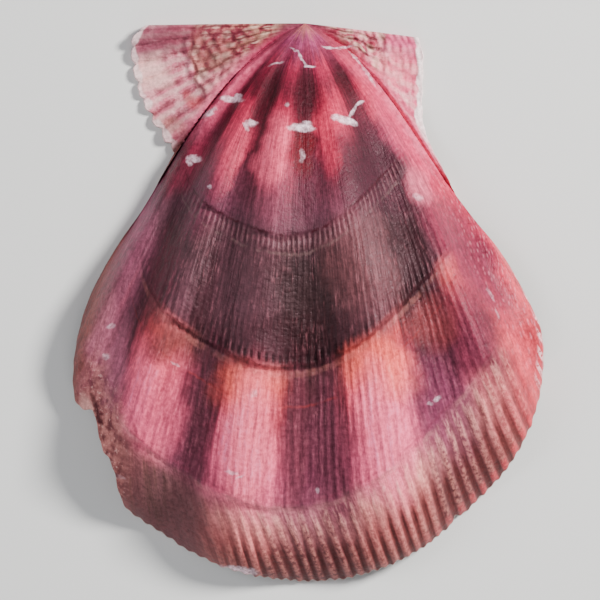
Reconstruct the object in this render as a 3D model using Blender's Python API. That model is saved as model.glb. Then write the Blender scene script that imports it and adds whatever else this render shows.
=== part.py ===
"""The left valve of a swift scallop shell, lying on its margin with the outside up.

A valve is one solid that grew outwards from its beak.  The sheet of growth has two
coordinates: the growth v, from 0 at the beak to 1 at the free margin, and the ray,
which runs along the margin from the front ear, round the disc, to the back ear.
Metres, +Z up, +Y towards the hinge, origin under the middle of the shell.
"""

import math

import bmesh
import bpy
import numpy as np

MM = 0.001

# Driving dimensions, in millimetres
HINGE_TO_MARGIN = 94.4  # beak to the lower margin, measured on the plan
DOME_HEIGHT = 16.2  # crown of the disc above the ears
DOME_CENTRE = (0.6, 37.5)  # crown, right of the beak and below the hinge
RIM_THICKNESS = 0.9  # at the free margin
WALL_THICKNESS = 2.1  # at the crown, measured upright
HINGE_THICKNESS = 2.2
BEAK_AT = (-0.626, 47.223)  # the beak in the part's frame

# Free margin, as (right of the beak, below the hinge), in order round the shell
FRONT_EAR_EDGE = ((-26.9, 0.3), (-28.8, 2.2), (-29.1, 6.0), (-28.4, 10.0), (-27.0, 13.8),
                  (-25.2, 17.0), (-23.6, 19.6), (-22.1, 21.8))
DISC_EDGE = ((-22.1, 21.8), (-27.0, 30.6), (-32.6, 38.9), (-37.0, 47.6), (-39.1, 57.5),
             (-38.7, 66.6), (-35.6, 75.4), (-30.9, 81.4), (-25.0, 85.9), (-14.8, 91.6),
             (-3.0, 94.3), (7.5, 93.8), (18.0, 89.8), (27.2, 82.7), (35.4, 73.4), (40.0, 61.9),
             (39.9, 52.0), (37.4, 46.2), (32.9, 38.4), (28.9, 33.5), (25.6, 29.1))
BACK_EAR_EDGE = ((25.6, 29.1), (23.3, 24.6), (21.2, 20.6), (20.0, 17.0), (19.8, 13.0),
                 (19.9, 8.5), (19.8, 4.6), (19.1, 2.4))

# Folds of the disc: sideways slope of each crest's ray where it meets the margin
FOLD_CRESTS = (-0.96, -0.68, -0.40, -0.14, 0.18, 0.52, 0.80, 1.08)
FOLD_HEIGHT = 1.45  # half of crest to furrow, at the margin
# Growth rests: v where one stage ends in a ledge, and the drop there
GROWTH_RESTS = ((0.385, 0.8), (0.617, 1.1), (0.868, 0.8))
MARGIN_RIBS = 58  # coarse ribs of the last stage, round the disc
MARGIN_RIB_HEIGHT = 0.42
FRONT_EAR_RIBS = 8
BACK_EAR_RIBS = 8
EAR_RIB_HEIGHT = 0.3
# How much earlier each stage ends towards the back ear, by the slope of the ray
OBLIQUE = ((0.03, 0.0), (0.10, 0.026), (0.16, 0.040), (0.25, 0.053), (0.40, 0.075),
           (0.55, 0.075), (0.70, 0.045), (0.85, 0.0))
# How far the last stage's ribs lean back, as a share of the disc's ribs, by place
RIB_LEAN = ((0.12, 0.0), (0.38, 0.056), (0.55, 0.039), (0.72, 0.013), (0.9, 0.0))
CHIP_CENTRE, CHIP_WIDTH, CHIP_DEPTH = 0.178, 0.036, 0.056  # broken front margin

# Sheet density: columns at the beak for front ear, disc and back ear; each band of
# growth past DOUBLE_FROM has twice the columns of the one inside it
COLUMNS = (4, 21, 4)
ROWS = (0.0, 0.035, 0.075, 0.125, 0.19, 0.26, 0.32, 0.38, 0.392, 0.46, 0.54, 0.61,
        0.624, 0.70, 0.78, 0.86, 0.876, 0.915, 0.96, 1.0)
DOUBLE_FROM = (0.12, 0.37, 0.85)
SHELL_COLOUR = (0.52, 0.16, 0.22, 1.0)


def smooth_step(x, low, high):
    u = np.clip((x - low) / (high - low), 0.0, 1.0)
    return u * u * (3.0 - 2.0 * u)


def curve_through(points, share):
    """Points at each share, from 0 to 1, of the smooth curve through the given points."""
    p = np.array(points)
    knots = np.concatenate([[0.0], np.cumsum(np.hypot(*np.diff(p, axis=0).T))])
    tangent = np.gradient(p, knots, axis=0)
    at = np.asarray(share) * knots[-1]
    k = np.clip(np.searchsorted(knots, at) - 1, 0, len(knots) - 2)
    span = (knots[k + 1] - knots[k])[:, None]
    u = (at - knots[k])[:, None] / span
    start = (2 * u**3 - 3 * u**2 + 1) * p[k] + (u**3 - 2 * u**2 + u) * span * tangent[k]
    end = (3 * u**2 - 2 * u**3) * p[k + 1] + (u**3 - u**2) * span * tangent[k + 1]
    return start + end


def early_width(v):
    """Final width over width for its height at growth v: the young shell was wider."""
    return 1.0 - 0.15 * (1.0 - v) - 0.43 * (1.0 - v) ** 2


def flankness(edge):
    """0 on the middle ray, 1 on the rays that part the disc from its ears."""
    front = DISC_EDGE[0][0] / DISC_EDGE[0][1]
    back = DISC_EDGE[-1][0] / DISC_EDGE[-1][1]
    slope = edge[:, 0] / np.maximum(edge[:, 1], 1e-6)
    return np.where(slope < 0.0, slope / front, slope / back)


def reached(edge, v):
    """How far along its ray growth v has come, as a share of the whole ray."""
    early = np.interp(edge[:, 0] / np.maximum(edge[:, 1], 1e-6), *np.transpose(OBLIQUE))
    return v - early * smooth_step(v, 0.0, 0.38) * (1.0 - smooth_step(v, 0.87, 1.0))


def place_on_plan(edge, v):
    """Plan position, beak at the origin, at share v of the ray that ends at edge."""
    curved = 1.0 - smooth_step(flankness(edge), 0.2, 0.95)
    width = 1.0 + curved * (early_width(v) - 1.0)
    return np.stack([edge[:, 0] * v / width, edge[:, 1] * v], axis=1)


def disc_share_table(samples=1500, at_growth=0.7):
    """Shares of DISC_EDGE at even steps across the ribs of a half-grown shell."""
    share = np.linspace(0.0, 1.0, samples)
    line = place_on_plan(curve_through(DISC_EDGE, share), np.full(samples, at_growth))
    step = np.diff(line, axis=0)
    ray = line[1:] / np.hypot(*line[1:].T)[:, None]
    across = step[:, 0] * ray[:, 1] - step[:, 1] * ray[:, 0]
    gap = np.hypot(across, 0.3 * np.hypot(*step.T))
    total = np.concatenate([[0.0], np.cumsum(gap)])
    return total / total[-1], share


def crease(end, grow):
    """The curved crease between the disc and an ear, from the beak to the margin."""
    return np.stack([end[0] * grow / early_width(grow), end[1] * grow], axis=1)


def dome_edge_table(samples=700):
    """Distance from the dome's centre to its creases and margin, by direction."""
    grow = np.linspace(0.0, 1.0, 60)[:-1]
    rim = curve_through(DISC_EDGE, np.linspace(0.0, 1.0, samples))
    loop = np.concatenate([crease(DISC_EDGE[0], grow), rim, crease(DISC_EDGE[-1], grow)[::-1]])
    loop = loop - np.array(DOME_CENTRE)
    angle = np.unwrap(np.arctan2(loop[:, 0], loop[:, 1]))
    order = np.argsort(angle)
    return angle[order], np.hypot(*loop.T)[order]


RIB_TABLE = disc_share_table()
DOME_TABLE = dome_edge_table()


def dome_share(plan):
    """0 at the dome's centre and 1 on the disc's outline, with the direction's cosine."""
    offset = plan - np.array(DOME_CENTRE)
    angles, reach = DOME_TABLE
    angle = np.arctan2(offset[:, 0], offset[:, 1])
    angle = np.where(angle < angles[0], angle + 2 * math.pi, angle)
    angle = np.where(angle > angles[-1], angle - 2 * math.pi, angle)
    return np.hypot(*offset.T) / np.interp(angle, angles, reach), np.cos(angle)


def dome_height(plan):
    """The smooth dome: a full shoulder by the beak, a flat crown and a steep lower rim."""
    share, down = dome_share(plan)
    lower = smooth_step(down, -0.6, 0.8)
    power = 2.0 + 0.7 * lower
    bend = 0.80 - 0.06 * lower
    return DOME_HEIGHT * np.clip(1.0 - np.clip(share, 0.0, 1.0) ** power, 0.0, 1.0) ** bend


def fold_wave(edge, v):
    """1 on a fold's crest, -1 in a furrow, fading on the flanks by the ears."""
    slope = edge[:, 0] / np.maximum(edge[:, 1], 1e-6)
    phase = np.interp(slope, FOLD_CRESTS, np.arange(len(FOLD_CRESTS)))
    flank = 1.0 - smooth_step(np.abs(slope), 0.80, 0.98)
    return np.cos(2 * math.pi * phase) * flank


def growth_ledges(edge, v):
    """Each stage swells to its end and drops in a ledge, most of all on the folds."""
    height = np.zeros_like(v)
    start = 0.0
    for rest, drop in GROWTH_RESTS:
        inside = (v >= start) & (v < rest)
        height[inside] += drop * ((v[inside] - start) / (rest - start)) ** 2
        start = rest + 0.006
    slope = np.abs(edge[:, 0]) / np.maximum(edge[:, 1], 1e-6)
    return height * (0.7 + 0.3 * fold_wave(edge, v)) * (1.0 - smooth_step(slope, 0.72, 0.9))


def rib_relief(kind, along, v):
    """Raised ribs: those of the last stage round the disc, and those of the two ears."""
    last = smooth_step(v, 0.868, 0.90)
    disc = MARGIN_RIB_HEIGHT * last * np.cos(2 * math.pi * MARGIN_RIBS * along)
    ear_growth = smooth_step(v, 0.15, 0.35)
    front = EAR_RIB_HEIGHT * ear_growth * np.cos(2 * math.pi * FRONT_EAR_RIBS * along)
    back = EAR_RIB_HEIGHT * ear_growth * np.cos(2 * math.pi * BACK_EAR_RIBS * along)
    return np.choose(kind, [front, disc, back])


def edge_of(kind, along, v):
    """The margin point that each ray ends at, swept back in the last stage."""
    last = np.clip((v - 0.868) / 0.132, 0.0, 1.0)
    lean = np.interp(along, *np.transpose(RIB_LEAN))
    swept = np.where(kind == 1, along + last * lean, along)
    disc = curve_through(DISC_EDGE, np.interp(swept, *RIB_TABLE))
    front = curve_through(FRONT_EAR_EDGE, along)
    back = curve_through(BACK_EAR_EDGE, along)
    pick = kind[:, None]
    return np.where(pick == 0, front, np.where(pick == 1, disc, back))


def broken_growth(kind, along, v):
    """The growth coordinate with the broken stretch of the front margin drawn in."""
    lost = CHIP_DEPTH * np.exp(-(((along - CHIP_CENTRE) / CHIP_WIDTH) ** 4))
    lost = np.where(kind == 1, lost, 0.0)
    last = np.clip((v - 0.868) / 0.132, 0.0, 1.0)
    return v - lost * last


def shape(kind, along, v, outside):
    """World positions in millimetres for points of the growth sheet."""
    edge = edge_of(kind, along, v)
    grown = broken_growth(kind, along, v)
    plan = place_on_plan(edge, np.where(kind == 1, reached(edge, grown), grown))
    dome = dome_height(plan)
    on_ear = (kind != 1) * smooth_step(dome_share(plan)[0], 1.0, 1.06)
    on_disc = 1.0 - on_ear
    folds = FOLD_HEIGHT * np.minimum(1.0, grown / 0.8) ** 0.8 * fold_wave(edge, grown)
    folds = on_disc * folds * smooth_step(grown, 0.0, 0.10)
    lift = on_disc * FOLD_HEIGHT * smooth_step(grown, 0.6, 1.0) * (
        1.0 - smooth_step(np.abs(edge[:, 0]) / edge[:, 1], 0.80, 0.98))
    hinge = 1.0 - smooth_step(plan[:, 1], 1.0, 7.0)
    plate = RIM_THICKNESS + (HINGE_THICKNESS - RIM_THICKNESS) * hinge
    plate += 0.7 * on_ear * smooth_step(grown, 1.0, 0.6) * smooth_step(grown, 0.0, 0.1)
    skin = plate + dome + folds + lift
    ribs = rib_relief(kind, along, grown) * np.where(kind == 1, 1.0, on_ear)
    relief = ribs + on_disc * growth_ledges(edge, grown)
    relief *= smooth_step(plan[:, 1], 0.3, 2.5)
    wall = RIM_THICKNESS + (WALL_THICKNESS - RIM_THICKNESS) * np.sqrt(dome / DOME_HEIGHT)
    wall += (HINGE_THICKNESS - RIM_THICKNESS + 1.0) * hinge
    inner = np.maximum(0.0, skin + 0.4 * relief - wall)
    height = np.where(outside, np.maximum(skin + relief, inner + 0.6), inner)
    beak = np.array(BEAK_AT)
    return np.stack([plan[:, 0] + beak[0], beak[1] - plan[:, 1], height], axis=1)


def growth_sheet():
    """A flat slab in sheet coordinates: columns along X, rows along Y, two faces in Z."""
    bm = bmesh.new()
    wide, tall = sum(COLUMNS), len(ROWS) - 1
    bmesh.ops.create_grid(bm, x_segments=wide, y_segments=tall, size=0.5)
    for vert in bm.verts:
        vert.co.x = (vert.co.x + 0.5) * wide
        vert.co.y = (vert.co.y + 0.5) * tall
    for growth in DOUBLE_FROM:
        first = float(np.searchsorted(ROWS, growth))
        level = [edge for edge in bm.edges
                 if min(v.co.y for v in edge.verts) > first - 0.1
                 and abs(edge.verts[0].co.y - edge.verts[1].co.y) < 0.1]
        bmesh.ops.subdivide_edges(bm, edges=level, cuts=1)
    bmesh.ops.triangulate(bm, faces=bm.faces[:])
    made = bmesh.ops.extrude_face_region(bm, geom=bm.faces[:], use_keep_orig=True)
    for item in made["geom"]:
        if isinstance(item, bmesh.types.BMVert):
            item.co.z = 1.0
    return bm


def sheet_coordinates(points):
    """Kind of ray, place along its stretch of margin, growth, and whether it is outside."""
    column, row = points[:, 0], points[:, 1]
    ends = np.cumsum((0,) + COLUMNS)
    kind = np.clip(np.searchsorted(ends, column + 1e-6) - 1, 0, 2)
    along = (column - ends[kind]) / np.array(COLUMNS)[kind]
    return kind, np.clip(along, 0.0, 1.0), np.interp(row, np.arange(len(ROWS)), ROWS), points[:, 2] > 0.5


def make_valve():
    bm = growth_sheet()
    flat = np.array([vert.co[:] for vert in bm.verts])
    solid = shape(*sheet_coordinates(flat)) * MM
    for vert, place in zip(bm.verts, solid):
        vert.co = place
    bmesh.ops.remove_doubles(bm, verts=bm.verts[:], dist=2e-6)
    bmesh.ops.dissolve_degenerate(bm, edges=bm.edges[:], dist=1e-6)
    bmesh.ops.triangulate(bm, faces=bm.faces[:])
    bmesh.ops.recalc_face_normals(bm, faces=bm.faces[:])
    mesh = bpy.data.meshes.new("valve")
    bm.to_mesh(mesh)
    bm.free()
    mesh.shade_smooth()
    mesh.set_sharp_from_angle(angle=math.radians(50.0))
    return bpy.data.objects.new("valve", mesh)


def shell_material():
    material = bpy.data.materials.new("shell")
    material.use_nodes = True
    surface = material.node_tree.nodes["Principled BSDF"]
    surface.inputs["Base Color"].default_value = SHELL_COLOUR
    surface.inputs["Roughness"].default_value = 0.45
    surface.inputs["Metallic"].default_value = 0.0
    return material


def main():
    for old in list(bpy.data.objects):
        bpy.data.objects.remove(old)
    collection = bpy.data.collections.new("swift_scallop_shell")
    bpy.context.scene.collection.children.link(collection)
    valve = make_valve()
    valve.data.materials.append(shell_material())
    collection.objects.link(valve)


main()
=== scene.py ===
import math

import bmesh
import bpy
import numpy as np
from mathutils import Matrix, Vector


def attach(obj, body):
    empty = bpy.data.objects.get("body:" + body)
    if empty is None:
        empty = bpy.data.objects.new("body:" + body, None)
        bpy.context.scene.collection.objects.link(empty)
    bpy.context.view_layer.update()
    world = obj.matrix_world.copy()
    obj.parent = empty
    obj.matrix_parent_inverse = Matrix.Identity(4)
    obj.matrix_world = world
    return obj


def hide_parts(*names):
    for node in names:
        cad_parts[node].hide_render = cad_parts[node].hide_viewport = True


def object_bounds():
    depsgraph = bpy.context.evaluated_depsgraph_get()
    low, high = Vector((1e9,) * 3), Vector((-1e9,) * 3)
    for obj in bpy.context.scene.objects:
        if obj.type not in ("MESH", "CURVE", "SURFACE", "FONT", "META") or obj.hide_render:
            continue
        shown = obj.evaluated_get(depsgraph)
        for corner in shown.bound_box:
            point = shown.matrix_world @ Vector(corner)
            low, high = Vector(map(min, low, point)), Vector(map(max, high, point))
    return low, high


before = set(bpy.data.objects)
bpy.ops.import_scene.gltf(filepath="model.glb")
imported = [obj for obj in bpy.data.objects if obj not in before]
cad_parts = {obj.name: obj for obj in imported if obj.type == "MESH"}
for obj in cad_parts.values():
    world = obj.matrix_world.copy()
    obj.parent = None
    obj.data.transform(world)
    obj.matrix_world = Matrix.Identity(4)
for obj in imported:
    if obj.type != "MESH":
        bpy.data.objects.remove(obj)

# Looks of a swift scallop's left valve.  The shell is a sheet of growth with two
# coordinates: the growth, from 0 at the beak to 1 at the free margin, and the ray, which
# runs along the margin from the front ear, round the disc, to the back ear.  Plan places
# are in millimetres from the beak: to the right of it, and below the hinge.

CAD_LOW, CAD_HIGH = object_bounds()
MM = 0.001

# Driving dimensions, in millimetres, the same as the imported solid's
DOME_HEIGHT = 16.2
DOME_CENTRE = (0.6, 37.5)
SHOULDER_POWER, SHOULDER_BEND = 2.0, 0.80
RIM_POWER, RIM_BEND = 2.7, 0.74
YOUNG_WIDENING = (0.15, 0.43)
RIM_THICKNESS = 0.9
WALL_THICKNESS = 2.1
HINGE_THICKNESS = 2.2
CREASE_FILLET, CREASE_FILLING = 1.7, 1.3  # a wide and a narrow one between disc and ears
EAR_SWELLING = 0.7  # the ears' extra thickness by the hinge
BEAK_X = -0.626
BEAK_Y = CAD_HIGH.y / MM

FRONT_EAR_EDGE = ((-26.9, 0.3), (-28.8, 2.2), (-29.1, 6.0), (-28.4, 10.0), (-27.0, 13.8),
                  (-25.2, 17.0), (-23.6, 19.6), (-22.1, 21.8))
DISC_EDGE = ((-22.1, 21.8), (-27.0, 30.6), (-32.6, 38.9), (-37.0, 47.6), (-39.1, 57.5),
             (-38.7, 66.6), (-35.6, 75.4), (-30.9, 81.4), (-25.0, 85.9), (-14.8, 91.6),
             (-3.0, 94.3), (7.5, 93.8), (18.0, 89.8), (27.2, 82.7), (35.4, 73.4), (40.0, 61.9),
             (39.9, 52.0), (37.4, 46.2), (32.9, 38.4), (28.9, 33.5), (25.6, 29.1))
BACK_EAR_EDGE = ((25.6, 29.1), (23.3, 24.6), (21.2, 20.6), (20.0, 17.0), (19.8, 13.0),
                 (19.9, 8.5), (19.8, 4.6), (19.1, 2.4))

FOLD_CRESTS = (-0.96, -0.68, -0.40, -0.14, 0.18, 0.52, 0.80, 1.08)
FOLD_HEIGHT = 1.45
GROWTH_RESTS = ((0.385, 0.8), (0.617, 1.1), (0.868, 0.8))  # growth, and drop of its ledge
LAST_STAGE = GROWTH_RESTS[-1][0]
# Lag of the growth lines by slope from the beak, and sweep of the last ribs by place
OBLIQUE = ((0.03, 0.0), (0.10, 0.026), (0.16, 0.040), (0.25, 0.053), (0.40, 0.075),
           (0.55, 0.075), (0.70, 0.045), (0.85, 0.0))
LAG_SOFTNESS = (-0.10, -0.06, -0.03, 0.0, 0.03, 0.06, 0.10)  # slopes to average it over
RIB_LEAN = ((0.12, 0.0), (0.38, 0.056), (0.55, 0.039), (0.72, 0.013), (0.9, 0.0))
CHIP_CENTRE, CHIP_WIDTH, CHIP_DEPTH = 0.178, 0.036, 0.056
NICK_CENTRE, NICK_WIDTH, NICK_DEPTH = 0.715, 0.006, 0.006

# The muscle's scar and the ligament's pit, on the underside
SCAR_CENTRE, SCAR_HALF, SCAR_DEPTH = (6.5, 38.0), (12.5, 14.0), 0.28
PIT_CENTRE, PIT_HALF, PIT_DEPTH = (0.0, 2.2), (3.0, 2.4), 1.1

# Columns of the sheet at the beak: front ear, disc, back ear.  Each pair of growths, one
# outside and one inside, bounds a stretch of sheet with twice the columns.
COLUMNS = (12, 56, 10)
DOUBLINGS = ((0.07, 0.07), (0.17, 0.17), (0.36, 0.97))
OUTER_BANDS = ((0.0, 0.07, 5), (0.07, 0.17, 8), (0.17, 0.36, 22), (0.36, 0.43, 15),
               (0.43, 0.60, 24), (0.60, 0.64, 12), (0.64, 0.85, 27), (0.85, 0.89, 10),
               (0.89, 1.0, 24))
INNER_BANDS = ((1.0, 0.97, 3), (0.97, 0.17, 34), (0.17, 0.07, 5), (0.07, 0.0, 3))
RIM_ROWS = 3

# Ribs.  Each fine rib of the disc is three columns wide and each coarse one is six.
FINE_RIBS = COLUMNS[1] * 8 / 3
COARSE_RIBS = FINE_RIBS / 2
COARSE_RIB_HEIGHT = 0.30
BAND_RIBS = 0.7  # ribs of the last band to one coarse rib
FRONT_EAR_RIBS = 8
BACK_EAR_RIBS = 9
EAR_STEP = 0.70  # growth of the step across the front ear

DEEPEN = 1.2  # power on every linear colour
MARK_AND_GLINT_COLOUR = (246, 220, 232)
BUMP_DEPTH = 0.00016  # metres
SPECULAR_LEVEL, SPECULAR_TINT = 0.22, (1.0, 0.62, 0.70, 1.0)

# Studio lamps, as (name, place in metres, width in metres, watts, colour)
LAMPS = (
    ("key_light", (0.46, 0.26, 0.40), 0.16, 10.5, (1.0, 0.98, 0.95)),
    ("fill_light", (-0.50, 0.10, 0.45), 0.4, 2.2, (0.95, 0.97, 1.0)),
    ("front_light", (0.05, -0.55, 0.40), 0.4, 1.2, (1.0, 1.0, 1.0)),
)
AMBIENT_COLOUR, AMBIENT_STRENGTH = (0.9, 0.93, 1.0, 1.0), 0.20
FLOOR_COLOUR = (0.72, 0.72, 0.71, 1.0)
FLOOR_HALF = 3.0  # metres
CAMERA_LENS, CAMERA_SENSOR = 300.0, 36.0
PHOTO_PIXEL = 0.17  # millimetres of the shell to one pixel of the photograph
PHOTO_BEAK = (305.0, 24.0)  # the beak's pixel, in a frame of 600 by 600
PHOTO_SIDE = 600.0


def smooth_step(x, low, high):
    u = np.clip((x - low) / (high - low), 0.0, 1.0)
    return u * u * (3.0 - 2.0 * u)


def bell(x, centre, width):
    return np.exp(-(((x - centre) / width) ** 2))


def soft_noise(x, y, seed):
    """Smooth noise from -1 to 1 over a grid of unit cells, the same each run."""
    table = np.random.default_rng(seed).uniform(-1.0, 1.0, (256, 256))
    column, row = np.floor(x).astype(int), np.floor(y).astype(int)
    u, v = x - column, y - row
    u, v = u * u * (3 - 2 * u), v * v * (3 - 2 * v)
    near = table[column % 256, row % 256] * (1 - u) + table[(column + 1) % 256, row % 256] * u
    far = (table[column % 256, (row + 1) % 256] * (1 - u)
           + table[(column + 1) % 256, (row + 1) % 256] * u)
    return near * (1 - v) + far * v


def curve_through(points, share):
    """Points at each share, from 0 to 1, of the smooth curve through the given points."""
    p = np.array(points)
    knots = np.concatenate([[0.0], np.cumsum(np.hypot(*np.diff(p, axis=0).T))])
    tangent = np.gradient(p, knots, axis=0)
    at = np.asarray(share) * knots[-1]
    k = np.clip(np.searchsorted(knots, at) - 1, 0, len(knots) - 2)
    span = (knots[k + 1] - knots[k])[:, None]
    u = (at - knots[k])[:, None] / span
    start = (2 * u**3 - 3 * u**2 + 1) * p[k] + (u**3 - 2 * u**2 + u) * span * tangent[k]
    end = (3 * u**2 - 2 * u**3) * p[k + 1] + (u**3 - u**2) * span * tangent[k + 1]
    return start + end


def early_width(v):
    """Final width over width for its height at growth v: the young shell was wider."""
    return 1.0 - YOUNG_WIDENING[0] * (1.0 - v) - YOUNG_WIDENING[1] * (1.0 - v) ** 2


def flankness(edge):
    """0 on the middle ray, 1 on the rays that part the disc from its ears."""
    front = DISC_EDGE[0][0] / DISC_EDGE[0][1]
    back = DISC_EDGE[-1][0] / DISC_EDGE[-1][1]
    slope = edge[:, 0] / np.maximum(edge[:, 1], 1e-6)
    return np.where(slope < 0.0, slope / front, slope / back)


def lag(slope, v):
    """How far short of share v of its ray growth v lies: stages end early at the back."""
    around = (np.interp(slope + aside, *np.transpose(OBLIQUE)) for aside in LAG_SOFTNESS)
    early = sum(around) / len(LAG_SOFTNESS)
    return early * smooth_step(v, 0.0, 0.38) * (1.0 - smooth_step(v, 0.87, 1.0))


def place_on_plan(edge, v):
    """Plan place at share v of the ray that ends at edge."""
    curved = 1.0 - smooth_step(flankness(edge), 0.2, 0.95)
    width = 1.0 + curved * (early_width(v) - 1.0)
    return np.stack([edge[:, 0] * v / width, edge[:, 1] * v], axis=1)


def disc_share_table(samples=1500, at_growth=0.7):
    """Shares of DISC_EDGE at even steps across the ribs of a half-grown shell."""
    share = np.linspace(0.0, 1.0, samples)
    line = place_on_plan(curve_through(DISC_EDGE, share), np.full(samples, at_growth))
    step = np.diff(line, axis=0)
    ray = line[1:] / np.hypot(*line[1:].T)[:, None]
    across = step[:, 0] * ray[:, 1] - step[:, 1] * ray[:, 0]
    gap = np.hypot(across, 0.3 * np.hypot(*step.T))
    total = np.concatenate([[0.0], np.cumsum(gap)])
    return total / total[-1], share


def crease(end, grow):
    """The curved crease between the disc and an ear, from the beak to the margin."""
    return np.stack([end[0] * grow / early_width(grow), end[1] * grow], axis=1)


def dome_edge_table(samples=700):
    """Distance from the dome's centre to its creases and margin, by direction."""
    grow = np.linspace(0.0, 1.0, 60)[:-1]
    rim = curve_through(DISC_EDGE, np.linspace(0.0, 1.0, samples))
    loop = np.concatenate([crease(DISC_EDGE[0], grow), rim, crease(DISC_EDGE[-1], grow)[::-1]])
    loop = loop - np.array(DOME_CENTRE)
    angle = np.unwrap(np.arctan2(loop[:, 0], loop[:, 1]))
    order = np.argsort(angle)
    return angle[order], np.hypot(*loop.T)[order]


def margin_table(samples=1500):
    """Slope from the beak, place among the ribs and depth of points along the margin."""
    along = np.linspace(0.0, 1.0, samples)
    edge = curve_through(DISC_EDGE, np.interp(along, *RIB_TABLE))
    return edge[:, 0] / edge[:, 1], along, edge[:, 1]


RIB_TABLE = disc_share_table()
DOME_TABLE = dome_edge_table()
MARGIN_TABLE = margin_table()


def ray_through(plan):
    """Slope at the margin, place among the ribs and growth, for places on the disc."""
    slopes, alongs, depths = MARGIN_TABLE
    down = np.maximum(plan[:, 1], 1e-3)
    share = np.clip(down / 60.0, 0.0, 1.0)
    for _ in range(30):
        slope = plan[:, 0] / down * early_width(share)
        share += 0.5 * (np.clip(down / np.interp(slope, slopes, depths), 0.0, 1.0) - share)
    growth = share.copy()
    for _ in range(30):
        growth += 0.5 * (share + lag(slope, growth) - growth)
    last = np.clip((growth - LAST_STAGE) / (1.0 - LAST_STAGE), 0.0, 1.0)
    along = np.interp(slope, slopes, alongs)
    along = along - last * np.interp(along, *np.transpose(RIB_LEAN))
    return np.clip(slope, -3.0, 3.0), along, growth


def dome_share(plan):
    """0 at the dome's centre and 1 on the disc's outline, with the direction's cosine."""
    offset = plan - np.array(DOME_CENTRE)
    angles, reach = DOME_TABLE
    angle = np.arctan2(offset[:, 0], offset[:, 1])
    angle = np.where(angle < angles[0], angle + 2 * math.pi, angle)
    angle = np.where(angle > angles[-1], angle - 2 * math.pi, angle)
    return np.hypot(*offset.T) / np.interp(angle, angles, reach), np.cos(angle)


def dome_height(plan):
    """The smooth dome: a full shoulder by the beak, a flat crown and a steep lower rim."""
    share, down = dome_share(plan)
    lower = smooth_step(down, -0.6, 0.8)
    power = SHOULDER_POWER + (RIM_POWER - SHOULDER_POWER) * lower
    bend = SHOULDER_BEND + (RIM_BEND - SHOULDER_BEND) * lower
    return DOME_HEIGHT * np.clip(1.0 - np.clip(share, 0.0, 1.0) ** power, 0.0, 1.0) ** bend


def fold_wave(slope):
    """1 on a fold's crest, -1 in a furrow, fading on the flanks by the ears."""
    phase = np.interp(slope, FOLD_CRESTS, np.arange(len(FOLD_CRESTS)))
    flank = 1.0 - smooth_step(np.abs(slope), 0.80, 0.98)
    return np.cos(2 * math.pi * phase) * flank


def growth_ledges(slope, along, v):
    """Each stage swells to its end and drops in an uneven ledge, most of all on folds."""
    uneven = v + 0.0035 * soft_noise(along * 40.0, v * 0.0, 3)
    height = np.zeros_like(v)
    start = 0.0
    for rest, drop in GROWTH_RESTS:
        swell = np.clip((uneven - start) / (rest - start), 0.0, 1.0) ** 2
        height += drop * swell * (1.0 - smooth_step(uneven, rest - 0.001, rest + 0.007))
        start = rest + 0.006
    height += 0.25 * bell(uneven, 0.405, 0.009)
    height *= 0.7 + 0.3 * fold_wave(slope)
    return height * (1.0 - smooth_step(np.abs(slope), 0.48, 0.66))


def edge_of(kind, along, v):
    """The margin point that each ray ends at, swept back in the last stage."""
    last = np.clip((v - LAST_STAGE) / (1.0 - LAST_STAGE), 0.0, 1.0)
    lean = np.interp(along, *np.transpose(RIB_LEAN))
    swept = np.where(kind == 1, along + last * lean, along)
    disc = curve_through(DISC_EDGE, np.interp(swept, *RIB_TABLE))
    front = curve_through(FRONT_EAR_EDGE, along)
    back = curve_through(BACK_EAR_EDGE, along)
    pick = kind[:, None]
    return np.where(pick == 0, front, np.where(pick == 1, disc, back))


def margin_loss(kind, along):
    """How far short of the whole margin the shell now ends, as a share of its growth."""
    jagged = 1.0 + 0.25 * soft_noise(along * 70.0, along * 0.0, 5)
    chip = CHIP_DEPTH * np.exp(-(((along - CHIP_CENTRE) / CHIP_WIDTH) ** 4)) * jagged
    nick = NICK_DEPTH * bell(along, NICK_CENTRE, NICK_WIDTH)
    wear = 0.0016 * soft_noise(along * 90.0, along * 0.0, 8)
    ribs = 0.0016 * np.cos(2 * math.pi * COARSE_RIBS * along)
    disc = chip + nick + wear - ribs
    front = 0.012 - 0.020 * np.abs(np.cos(math.pi * FRONT_EAR_RIBS * along)) ** 0.7
    front += 0.006 * soft_noise(along * 30.0, along * 0.0, 11)
    back = -0.004 * np.cos(2 * math.pi * BACK_EAR_RIBS * along)
    ends = smooth_step(along, 0.0, 0.03) * (1.0 - smooth_step(along, 0.97, 1.0))
    return np.choose(kind, [front * ends, disc * ends, back * ends])


def broken_growth(kind, along, v):
    last = np.clip((v - LAST_STAGE) / (1.0 - LAST_STAGE), 0.0, 1.0)
    return v - margin_loss(kind, along) * last


def wandering(count, along, v, seed):
    """Rib numbers at each place, with ribs that vary in width and do not run quite straight."""
    return count * along + 0.22 * soft_noise(along * count * 0.4, v * 9.0, seed)


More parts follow.
